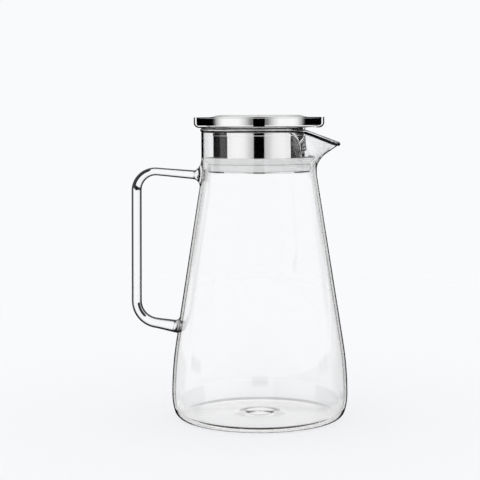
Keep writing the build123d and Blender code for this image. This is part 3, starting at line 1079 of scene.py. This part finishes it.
CLEAR = 0.965  # how much light passes where the glass lets lamps through
ONCE = 0.5  # a count of bounces over this is one or more
TRAPPED_AFTER = 3.5  # reflections after which light caught in the glass is let out
LET_OUT_BELOW = 30 * MM  # only the heel lets it out
LET_OUT = 0.75  # share of it that is let out


def clear_glass(name):
    """Clear glass whose colour is darkened where a ray grazes it, a painted shade, and that lets
    lamps through.
    """
    made, tree = material(name)
    # the faint waviness of blown glass
    waves = add_node(tree, "Bump", {
        "Height": grain(tree, 28.0, 1.0), "Strength": 0.02, "Distance": 0.0005})
    facing = Number(add_node(tree, "LayerWeight", {"Blend": 0.5}).outputs["Facing"])
    edge = add_node(tree, "Attribute", attribute_name=PAINTED_SHADE_ATTRIBUTE)
    width = Number(edge.outputs["Fac"])
    # painted shade: the glass's colour darkens towards grazing, over the width that the mesh gives
    # each point
    painted_shade = ramped((facing - (1 - width)) / width, PAINTED_EDGE_SHADE)
    body = add_node(tree, "BsdfPrincipled", {
        "Base Color": painted_shade, "Roughness": 0.0, "IOR": 1.474, "Transmission Weight": 1.0,
        "Normal": waves.outputs["Normal"]})

    path = light_path(tree)
    lamp_ray = path("Is Shadow Ray").at_least(path("Is Diffuse Ray"))
    place = add_node(tree, "TexCoord").outputs["Object"]
    height = Number(add_node(tree, "SeparateXYZ", {"Vector": place}).outputs["Z"])
    trapped = (path("Glossy Depth") > TRAPPED_AFTER) * (height < LET_OUT_BELOW)
    clear = add_node(tree, "BsdfTransparent", {"Color": shade(CLEAR)})
    finish_material(tree, body, lamp_ray.at_least(trapped * LET_OUT), clear)
    return made


def polished_steel(name):
    """Mirror-polished steel whose gloss varies a little."""
    made, tree = material(name)
    rough = add_node(tree, "MapRange", {
        "Value": grain(tree, 900.0, 3.0), "To Min": 0.02, "To Max": 0.05})
    body = add_node(tree, "BsdfPrincipled", {
        "Base Color": shade((0.94, 0.94, 0.945)), "Metallic": 1.0,
        "Roughness": rough.outputs["Result"]})
    finish_material(tree, body)
    return made


def clear_silicone(name):
    """Milky rubber: some light passes, and most is scattered back."""
    made, tree = material(name)
    milk = ramped(grain(tree, 300.0), ((0.3, (0.96, 0.965, 0.965)), (0.7, 0.99)))
    body = add_node(tree, "BsdfPrincipled", {
        "Base Color": milk, "Roughness": 0.12, "IOR": 1.3, "Transmission Weight": 0.25})
    finish_material(tree, body)
    return made


# Studio floor

BACKGROUND = (0.947, 0.956, 0.973)
FLOOR_R = 1.3
FLOOR_FADE = (0.55, 0.95 * FLOOR_R)
FLOOR_DROP = 0.02 * MM
FLOOR_COLUMNS = 64


def floor_material():
    """Matt floor that fades into the background and isn't mirrored."""
    made, tree = material("pale_floor")
    place = add_node(tree, "TexCoord")
    distance = add_node(
        tree, "VectorMath", {0: place.outputs["Object"]}, operation="LENGTH").outputs["Value"]
    fade = add_node(
        tree, "MapRange", {"Value": distance, "From Min": FLOOR_FADE[0], "From Max": FLOOR_FADE[1]},
        interpolation_type="SMOOTHSTEP")
    body = add_node(tree, "BsdfPrincipled", {
        "Base Color": shade(BACKGROUND), "Roughness": 1.0, "Specular IOR Level": 0.0})
    mirrored = light_path(tree)("Glossy Depth") > ONCE
    clear = add_node(tree, "BsdfTransparent")
    finish_material(tree, body, mirrored.at_least(Number(fade.outputs["Result"])), clear)
    return made


def studio_floor():
    points = [(0, 0, -FLOOR_DROP)] + spun([(FLOOR_R, -FLOOR_DROP)], full_turn(FLOOR_COLUMNS))
    faces = [(0, 1 + k, 1 + (k + 1) % FLOOR_COLUMNS) for k in range(FLOOR_COLUMNS)]
    made = make_object("studio_floor", points, faces, floor_material())


# Studio round the jug. It is pale for sight and light. What surfaces mirror is a row of black
# and white cards, with stops of (degrees from the camera's side, brightness).

LID_CARDS = (
    (0, 0.2), (13, 0.22), (16, 0.3), (20, 0.5), (25, 0.7), (30, 0.86), (36, 1.0), (61, 1.0),
    (66, 0.95), (70, 0.88), (74, 0.69), (78, 0.54), (81, 0.36), (84, 0.15), (87, 0.03), (89, 0.0),
    (143.4, 0.0), (144, 0.95), (180, 0.95),
)
IN_NECK_CARDS = (
    (0, 0.4), (13, 0.45), (24, 0.65), (36, 0.89), (50, 0.96), (84.6, 0.96), (85.4, 0.0),
    (180, 0.0),
)
NECK_CARDS = (
    (0, 0.9), (40, 1.0), (84.6, 1.0), (85.4, 0.15), (98, 0.15), (99, 0.0), (103, 0.0),
    (104, 0.95), (180, 0.95),
)
CONE_CARDS = ((0, 0.95), (110, 0.95), (117, 0.5), (145, 0.7), (180, 0.8))

# Upper and lower ends of the cards, as the sine of an elevation
CARDS_LOW = -0.2
CARDS_LOW_IN_NECK = -0.12
CARDS_HIGH = 0.24
CARDS_HIGH_IN_GLASS = 0.05
CARDS_HIGH_IN_NECK = 0.7
CARDS_SOFT = 0.06
OVER_CARDS = 0.95
SKY = ((0.0, 0.95), (0.2, 0.95), (0.32, 0.8), (0.5, 0.62), (1.0, 0.5))  # over steel

# Which rays are which. A ray leaves the neck's upright glass level or falling a little.
WALL_TWICE = 3.5  # glass surfaces passed on the way in and out through the wall
OFF_NECK_LOW = -0.042
OFF_NECK_SOFT = 0.02
LEVEL_IN_NECK = 0.08
STEEP = -0.8
OFF_SLEEVE = 0.85  # rays from the sleeve go less far along the line of sight
LID_LEAN = -0.65  # below this tilt the lid's corner mirrors the pale floor
LID_LEAN_SOFT = 0.08
UNDER_LID_LEAN = -1.1  # and below this one the dark gap over the rim
UNDER_LID_SOFT = 0.2
UNDER_FLANGE_LEAN = -0.8
INTO_JUG_LOW = -0.6  # rays that fall more and go away from the camera end in dark
OFF_SPOUT = 0.3  # the spout's side mirrors the dark end of the studio
DOWNWARDS = -0.34  # glass that faces down mirrors less light
UNDER_GLASS = 0.1

# The black card in front of the camera, in degrees, and the dusk behind the jug, which draws
# the outlines of steel and glass
STRIP_HALF = 10.2
STRIP_HALF_IN_NECK = 13.2
BEHIND_STEEL = 0.9
BEHIND_GLASS = 0.777
BEHIND_IN_NECK = 0.755
DUSK = ((0.0, 0.0), (0.06, 0.0), (0.065, 0.3), (0.3, 0.65), (0.5, 0.95))


class Ray:
    """Where a ray that reaches the world is going, and what it has met on its way."""

    def __init__(self, tree):
        place = add_node(tree, "TexCoord")
        axes = add_node(tree, "SeparateXYZ", {"Vector": place.outputs["Generated"]})
        self.x, self.y, self.z = (Number(axes.outputs[axis]) for axis in "XYZ")
        path = light_path(tree)
        surfaces, reflections = path("Transmission Depth"), path("Glossy Depth")
        self.seen = path("Is Camera Ray").at_least(path("Is Transmission Ray"))
        self.mirrored = reflections > ONCE
        self.let_out = (path("Transparent Depth") > ONCE) * (reflections > TRAPPED_AFTER)
        self.off_glass = path("Is Singular Ray")
        self.entered = surfaces > ONCE
        self.through_wall = surfaces > WALL_TWICE
        self.in_wall = self.entered - self.through_wall
        self.off_outside = self.off_glass * (1 - self.entered)
        self.off_sleeve = self.through_wall * (self.y < OFF_SLEEVE)
        self.level = abs(self.z) < LEVEL_IN_NECK
        above = rise(self.z, OFF_NECK_LOW - OFF_NECK_SOFT, OFF_NECK_SOFT)
        self.off_neck = above * (1 - rise(self.z, 0.0, OFF_NECK_SOFT))
        # The surface that turns a ray along +Y into this direction: twice its turn from the
        # camera's side in degrees, and its tilt. It puts upright edges of the cards on the lid.
        ahead = 1 - self.y
        self.turn = maths("ARCTAN2", abs(self.x), ahead) * (360 / pi)
        across = maths("SQRT", self.x * self.x + ahead * ahead)
        self.lean = self.z / across.at_least(1e-4)

    def cards(self, stops):
        return ramped(self.turn / 180.0, [(angle / 180, value) for angle, value in stops])


def card_light(ray, under_top):
    """What a mirrored ray meets: the cards, or what is over and under them."""
    off_outer_wall = mix(ray.off_neck, ray.cards(CONE_CARDS), ray.cards(NECK_CARDS))
    off_walls = mix(ray.through_wall, off_outer_wall, ray.cards(IN_NECK_CARDS))
    on_cards = mix(ray.off_glass, ray.cards(LID_CARDS), off_walls)
    lowest = mix(ray.off_sleeve, CARDS_LOW, CARDS_LOW_IN_NECK)
    over_bottom = mix(
        ray.off_glass, rise(ray.lean, LID_LEAN, LID_LEAN_SOFT), rise(ray.z, lowest, CARDS_SOFT))
    downwards = 1 - rise(ray.z, DOWNWARDS, CARDS_SOFT)
    off_cards = mix(ray.off_outside * downwards, OVER_CARDS, UNDER_GLASS)
    off_cards = mix(ray.off_glass, ramped(ray.z, SKY), off_cards)
    light = mix(over_bottom * under_top, off_cards, on_cards)
    off_spout = (ray.z < 0.0) * (ray.x > OFF_SPOUT) * ray.off_outside
    return mix(off_spout, light, UNDER_GLASS)


def dusk_behind(ray, light):
    """The light with the dark low behind the jug, but pale for rays caught in the wall."""
    start = mix(ray.off_glass, BEHIND_STEEL, mix(ray.through_wall, BEHIND_GLASS, BEHIND_IN_NECK))
    behind = ray.y > start
    light = mix(behind * mix(ray.through_wall, 1.0, ray.level), light, ramped(ray.z, DUSK))
    return mix(behind * ray.in_wall, light, OVER_CARDS)


def dark_forms(ray, under_top):
    """The black card in front of the camera, and the dark gaps under the lid and the flange."""
    in_neck = ray.level.at_least(ray.z < STEEP)
    strip = ray.turn < mix(ray.through_wall, STRIP_HALF, STRIP_HALF_IN_NECK)
    strip *= mix(ray.off_glass, under_top, mix(ray.through_wall, ray.off_neck, in_neck))
    under_flange = ray.off_sleeve * (ray.lean < UNDER_FLANGE_LEAN)
    into_jug = (ray.z < INTO_JUG_LOW) * (ray.y > 0.0) * ray.entered
    under_lid = 1 - rise(ray.lean, UNDER_LID_LEAN, UNDER_LID_SOFT)
    return strip.at_least(mix(ray.off_glass, under_lid, under_flange.at_least(into_jug)))


def mirrored_light(ray):
    """Brightness of what a mirrored ray meets in the studio."""
    highest = mix(ray.off_sleeve, CARDS_HIGH_IN_GLASS, CARDS_HIGH_IN_NECK)
    under_top = 1 - rise(ray.z, mix(ray.off_glass, CARDS_HIGH, highest), CARDS_SOFT)
    light = dusk_behind(ray, card_light(ray, under_top))
    light *= 1 - dark_forms(ray, under_top)
    return mix(ray.let_out, light, OVER_CARDS)


def studio_world():
    """Pale all round for sight and light, and black and white cards in what surfaces mirror."""
    world = bpy.data.worlds.new("studio")
    bpy.context.scene.world = world
    world.use_nodes = True
    tree = world.node_tree
    tree.nodes.clear()
    ray = Ray(tree)
    pale = mixed_color(tree, ray.seen, shade(1.0), shade(BACKGROUND))
    color = mixed_color(tree, ray.mirrored, pale, mirrored_light(ray))
    sky = add_node(tree, "Background", {"Color": color})
    add_node(tree, "OutputWorld", {"Surface": sky.outputs["Background"]})


# Camera

FOCAL_PX = 1390.0  # focal length in pixels of the photograph
FRAME_PX = 480.0
AXIS_OFFSET_PX = 19.4  # the jug's axis right of the middle
SENSOR_MM = 36.0
CAMERA_DISTANCE = 1163.5 * MM
CAMERA_Z = 251.9 * MM
CAMERA_TILT = radians(-5.0)
CAMERA_ROLL = radians(-0.25)


def camera():
    """The photograph's viewpoint: level with the lid, looking slightly down."""
    data = bpy.data.cameras.new("camera")
    data.sensor_width = SENSOR_MM
    data.lens = SENSOR_MM * FOCAL_PX / FRAME_PX
    made = bpy.data.objects.new("camera", data)
    yaw = Matrix.Rotation(atan(AXIS_OFFSET_PX / FOCAL_PX), 4, "Z")
    tilt = Matrix.Rotation(radians(90) + CAMERA_TILT, 4, "X")
    roll = Matrix.Rotation(CAMERA_ROLL, 4, "Z")
    made.matrix_world = Matrix.Translation((0, -CAMERA_DISTANCE, CAMERA_Z)) @ yaw @ tilt @ roll
    bpy.context.scene.collection.objects.link(made)
    bpy.context.scene.camera = made


camera()
studio_world()
studio_floor()
bpy.context.scene.view_settings.view_transform = "Standard"

steel = polished_steel("polished_steel")
silicone = clear_silicone("clear_silicone")

jug = glass_jug(clear_glass("clear_glass"))
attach(jug, "jug")
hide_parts("jug_body", "handle_rod", "upper_handle_weld", "lower_handle_weld")

# Each piece with its node, its body, its slot, and the angle above which its edges are crisp
pieces = (
    (lid_cover(steel), "lid_top_plate", "lid", "polished_steel", 30),
    (lid_dish(steel), "lid_pan", "lid", "polished_steel", 30),
    (collar(steel), "sleeve_collar", "lid", "polished_steel", 30),
    (strainer(steel), "strainer_sleeve", "lid", "polished_steel", 30),
    (seal(silicone), "seal_ring", "seal", "clear_silicone", 50),
)
for piece, node, body, slot, crisp in pieces:
    sharpen(piece, crisp)
    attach(piece, body)
    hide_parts(node)
